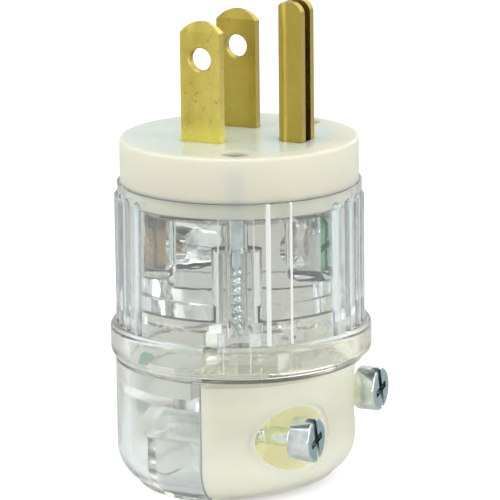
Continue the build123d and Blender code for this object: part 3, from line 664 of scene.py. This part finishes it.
def make_materials():
    """One material for each slot in the record."""
    return {
        "clear_shell": clear_plastic("clear_shell_look", SHELL_TINT, 0.10, shell=True),
        "clear_block": clear_plastic("clear_block_look", BLOCK_TINT, 0.08),
        "face_nylon": face_nylon(),
        "jaw_nylon": jaw_nylon(),
        "blade_brass": blade_brass(),
        "screw_brass": metal("screw_brass_look", (0.42, 0.24, 0.04, 1), (0.80, 0.52, 0.14, 1),
                             0.16, 0.34, painted_rim_shade),
        "screw_nickel": metal("screw_nickel_look", (0.55, 0.54, 0.50, 1), (0.76, 0.75, 0.71, 1),
                              0.16, 0.34),
        "screw_zinc": metal("screw_zinc_look", (0.62, 0.70, 0.69, 1), (0.90, 0.95, 0.95, 1),
                            0.08, 0.22, painted_head_shading),
        "screw_green": lacquer("screw_green_look", (0.03, 0.22, 0.09, 1), (0.06, 0.34, 0.13, 1),
                               0.3),
        "dot_green": lacquer("dot_green_look", (0.02, 0.34, 0.13, 1), (0.03, 0.42, 0.17, 1),
                             0.0),
    }


def dress_all(looks):
    """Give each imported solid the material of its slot."""
    for part in frame["record"]["subparts"]:
        piece = frame["nodes"][part["node"]]
        for slot in range(max(1, len(piece.data.materials))):
            piece.material_slots[slot].material = looks[part["material_slot"]]


def thread_shape(shape, length, radius, pitch, starts, plain, place):
    """Closed screw shank down from a place, plain at first and threaded below, with a point."""
    rings = round(length / pitch * THREAD_RINGS)
    rows = []
    for ring in range(rings + 1):
        depth = length * ring / rings
        taper = TIP_WIDTH + (1 - TIP_WIDTH) * (length - depth) / (TIP_LENGTH * radius)
        taper = min(1.0, taper)
        cut = min(1.0, max(0.0, (depth - plain) / pitch)) * THREAD_DEPTH
        row = []
        for side in range(THREAD_SIDES):
            turn = side / THREAD_SIDES
            phase = (starts * turn + depth / pitch) % 1.0
            crest = 1 - abs(2 * phase - 1)
            reach = (radius - cut * (1 - crest * crest)) * taper
            spot = Vector((reach * cos(2 * pi * turn), reach * sin(2 * pi * turn), -depth))
            row.append(shape.verts.new(place @ spot))
        rows.append(row)
    for upper, lower in zip(rows, rows[1:]):
        for side in range(THREAD_SIDES):
            after = (side + 1) % THREAD_SIDES
            shape.faces.new((upper[side], lower[side], lower[after], upper[after]))
    shape.faces.new(rows[0])
    shape.faces.new(reversed(rows[-1]))


def threaded_screw(node, along, head, radius, pitch, starts, plain):
    """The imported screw's own head on a shank with a modelled thread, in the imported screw's place."""
    source = frame["nodes"][node]
    low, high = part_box(node)
    seat = high[along] - head
    shape = bmesh.new()
    shape.from_mesh(source.data)
    shank = []
    for face in shape.faces:
        if face.calc_center_median()[along] < seat - SEAT_MARGIN:
            shank.append(face)
    bmesh.ops.delete(shape, geom=shank, context="FACES")
    axis = screw_axis(node)
    axis[along] = seat + SEAT_OVERLAP
    place = Matrix.Translation(axis)
    if along == 0:
        place = place @ Matrix.Rotation(pi / 2, 4, "Y")
    thread_shape(shape, axis[along] - low[along], radius, pitch, starts, plain, place)
    mesh = bpy.data.meshes.new(node + "_threaded")
    shape.to_mesh(mesh)
    shape.free()
    mesh.shade_smooth()
    mesh.set_sharp_from_angle(angle=radians(40))
    screw = bpy.data.objects.new(node + "_threaded", mesh)
    bpy.context.scene.collection.objects.link(screw)
    mesh.materials.clear()
    mesh.materials.append(source.material_slots[0].material)
    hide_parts(node)
    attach(screw, "plug_body")


def thread_screws():
    """Threads on the four long screws, whose shanks show."""
    for node in ASSEMBLY_SCREWS:
        threaded_screw(node, 2, ASSEMBLY_HEAD, ASSEMBLY_RADIUS, ASSEMBLY_PITCH, ASSEMBLY_STARTS,
                       ASSEMBLY_PLAIN)
    for node in CLAMP_SCREWS:
        threaded_screw(node, 0, CLAMP_HEAD, CLAMP_RADIUS, CLAMP_PITCH, CLAMP_STARTS, CLAMP_PLAIN)


def set_camera():
    """Camera at the photograph's place, found from the blades' known size and spacing."""
    back = Vector((sin(CAMERA_AZIMUTH) * cos(CAMERA_ELEVATION),
                   -cos(CAMERA_AZIMUTH) * cos(CAMERA_ELEVATION), sin(CAMERA_ELEVATION)))
    level = Vector((cos(CAMERA_AZIMUTH), sin(CAMERA_AZIMUTH), 0))
    upright = back.cross(level)
    right = level * cos(CAMERA_ROLL) - upright * sin(CAMERA_ROLL)
    up = level * sin(CAMERA_ROLL) + upright * cos(CAMERA_ROLL)
    place = Vector((0, 0, FACE_TOP)) + back * CAMERA_DISTANCE
    place += right * CAMERA_ASIDE - up * CAMERA_BELOW
    camera = bpy.data.objects.new("camera", bpy.data.cameras.new("camera"))
    camera.data.lens = CAMERA_LENS
    camera.data.sensor_width = CAMERA_SENSOR
    camera.data.clip_start = 0.01
    camera.matrix_world = Matrix((right, up, back)).transposed().to_4x4()
    camera.location = place
    bpy.context.scene.collection.objects.link(camera)
    bpy.context.scene.camera = camera


def set_lamps():
    """Soft boxes all round, aimed at the middle of the plug."""
    for name, place, width, height, power in LAMPS:
        data = bpy.data.lights.new(name, "AREA")
        data.shape = "RECTANGLE"
        data.size = width
        data.size_y = height
        data.energy = power
        lamp = bpy.data.objects.new(name, data)
        lamp.location = place
        lamp.rotation_euler = (LAMP_AIM - Vector(place)).to_track_quat("-Z", "Y").to_euler()
        bpy.context.scene.collection.objects.link(lamp)


def through_light(tree, coordinate):
    """Grey behind the plug and whiter at its sides, so that clear edges show as bright lines."""
    parts = tree.nodes.new("ShaderNodeSeparateXYZ")
    tree.links.new(coordinate, parts.inputs["Vector"])
    turn = calc(tree, "ARCTAN2", parts.outputs["Y"], parts.outputs["X"])
    turn = calc(tree, "SUBTRACT", turn, CAMERA_AZIMUTH + pi / 2)
    behind = calc(tree, "COSINE", turn)
    side = rise(tree, behind, *BACK_EDGES)
    front = rise(tree, behind, *FRONT_EDGES)
    light = calc(tree, "MULTIPLY_ADD", side, SIDE_LIGHT - BACK_LIGHT, BACK_LIGHT)
    light = calc(tree, "MULTIPLY_ADD", front, FRONT_LIGHT - SIDE_LIGHT, light)
    return light, blend(tree, side, BACK_TINT, SIDE_TINT)


def background(tree, strength, colour=WHITE):
    """Background shader from sockets or plain values."""
    node = tree.nodes.new("ShaderNodeBackground")
    put(tree, node.inputs["Color"], colour)
    put(tree, node.inputs["Strength"], strength)
    return node.outputs["Background"]


def set_world():
    """White behind everything, and greyer for the light that falls on and through the plug."""
    world = bpy.data.worlds.new("studio")
    bpy.context.scene.world = world
    world.use_nodes = True
    tree = world.node_tree
    tree.nodes.clear()
    output = tree.nodes.new("ShaderNodeOutputWorld")
    place = tree.nodes.new("ShaderNodeTexCoord")
    path = tree.nodes.new("ShaderNodeLightPath")
    through = background(tree, *through_light(tree, place.outputs["Generated"]))
    surround = background(tree, ROOM_LIGHT)
    for ray, light in (("Is Glossy Ray", background(tree, GLOSS_LIGHT)),
                       ("Is Transmission Ray", through),
                       ("Is Camera Ray", background(tree, 1.0))):
        surround = mix_shaders(tree, path.outputs[ray], surround, light)
    tree.links.new(surround, output.inputs["Surface"])


def floor_look():
    """Pale floor, white to the camera and like the room behind it through the clear parts."""
    material, tree, output = new_material("floor_look")
    path = tree.nodes.new("ShaderNodeLightPath")
    diffuse = tree.nodes.new("ShaderNodeBsdfDiffuse")
    diffuse.inputs["Color"].default_value = FLOOR_COLOUR
    glow = tree.nodes.new("ShaderNodeEmission")
    glow.inputs["Color"].default_value = WHITE
    put(tree, glow.inputs["Strength"], product(tree, path.outputs["Is Camera Ray"], FLOOR_GLOW))
    lit = tree.nodes.new("ShaderNodeAddShader")
    tree.links.new(diffuse.outputs["BSDF"], lit.inputs[0])
    tree.links.new(glow.outputs["Emission"], lit.inputs[1])
    through = tree.nodes.new("ShaderNodeEmission")
    place = tree.nodes.new("ShaderNodeTexCoord")
    light, tint = through_light(tree, place.outputs["Object"])
    tree.links.new(light, through.inputs["Strength"])
    tree.links.new(tint, through.inputs["Color"])
    surface = mix_shaders(tree, path.outputs["Is Transmission Ray"], lit.outputs["Shader"],
                          through.outputs["Emission"])
    tree.links.new(surface, output.inputs["Surface"])
    return material


def set_floor():
    """Round pale floor that stays white to the eye and keeps the plug's soft shadow."""
    mesh = bpy.data.meshes.new("floor")
    shape = bmesh.new()
    bmesh.ops.create_circle(shape, cap_ends=True, segments=96, radius=FLOOR_RADIUS)
    shape.to_mesh(mesh)
    shape.free()
    mesh.materials.append(floor_look())
    floor = bpy.data.objects.new("floor", mesh)
    floor.location = (0, 0, -FLOOR_DROP)
    bpy.context.scene.collection.objects.link(floor)


def set_view():
    """Plain colours, and long light paths."""
    scene = bpy.context.scene
    scene.view_settings.view_transform = "Standard"
    scene.cycles.max_bounces = LIGHT_BOUNCES
    scene.cycles.transmission_bounces = LIGHT_BOUNCES
    scene.cycles.transparent_max_bounces = LIGHT_BOUNCES


dress_all(make_materials())
thread_screws()
set_camera()
set_lamps()
set_world()
set_floor()
set_view()
